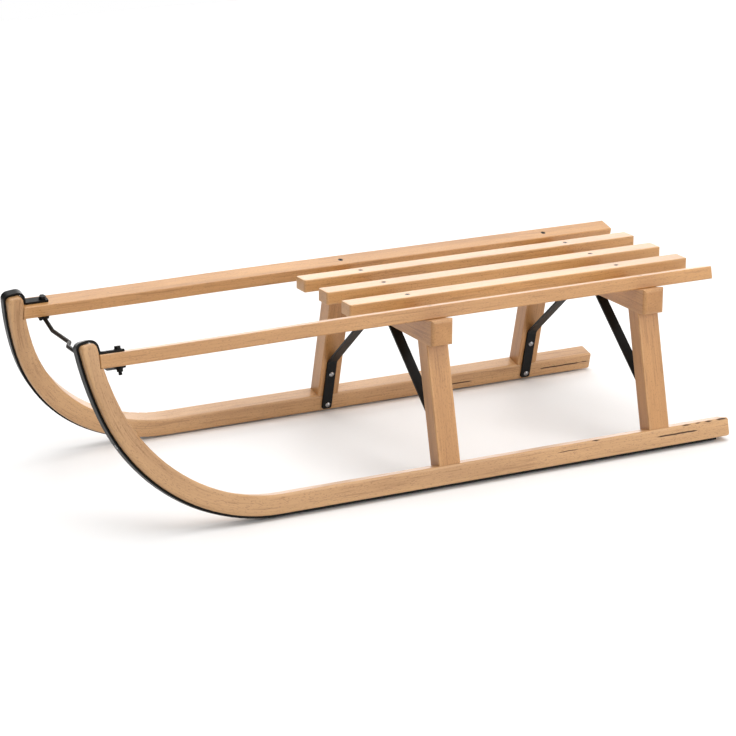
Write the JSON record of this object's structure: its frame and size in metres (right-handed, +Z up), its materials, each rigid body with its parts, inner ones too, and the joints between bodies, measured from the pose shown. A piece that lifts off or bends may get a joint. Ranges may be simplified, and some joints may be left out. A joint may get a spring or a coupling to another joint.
{
  "type": "wooden toboggan",
  "caption": "Wooden mountain toboggan with bent horned runners shod in steel, a slatted seat on two braced benches, and a steel pull bar between the horns.",
  "frame": {"origin": "on the ground, under the middle of the sled's length and width", "axes": "+X forward to the horns, +Y to the left side, +Z up"},
  "size_m": [0.9994, 0.4178, 0.269],
  "materials": {
    "runner_wood": "satin lacquered bent beech",
    "seat_wood": "satin lacquered beech",
    "frame_wood": "satin lacquered beech",
    "black_steel": "satin black paint on steel",
    "zinc_steel": "bright zinc plate"
  },
  "bodies": {
    "root": {"runner_left": "runner_wood", "runner_right": "runner_wood", "rail_left": "seat_wood", "rail_right": "seat_wood", "slat_left": "seat_wood", "slat_centre": "seat_wood", "slat_right": "seat_wood", "crossbar_front": "frame_wood", "crossbar_rear": "frame_wood", "leg_front_left": "frame_wood", "leg_front_right": "frame_wood", "leg_rear_left": "frame_wood", "leg_rear_right": "frame_wood", "shoe_left": "black_steel", "shoe_right": "black_steel", "brace_front_left": "black_steel", "brace_front_right": "black_steel", "brace_rear_left": "black_steel", "brace_rear_right": "black_steel", "pull_bar": "black_steel", "rail_bolts": "black_steel", "rail_washers": "black_steel", "rail_nuts": "black_steel", "brace_leg_screws": "zinc_steel", "brace_runner_screws": "zinc_steel", "brace_crossbar_screws": "zinc_steel", "seat_screws": "zinc_steel", "shoe_screws": "zinc_steel"}
  },
  "joints": []
}
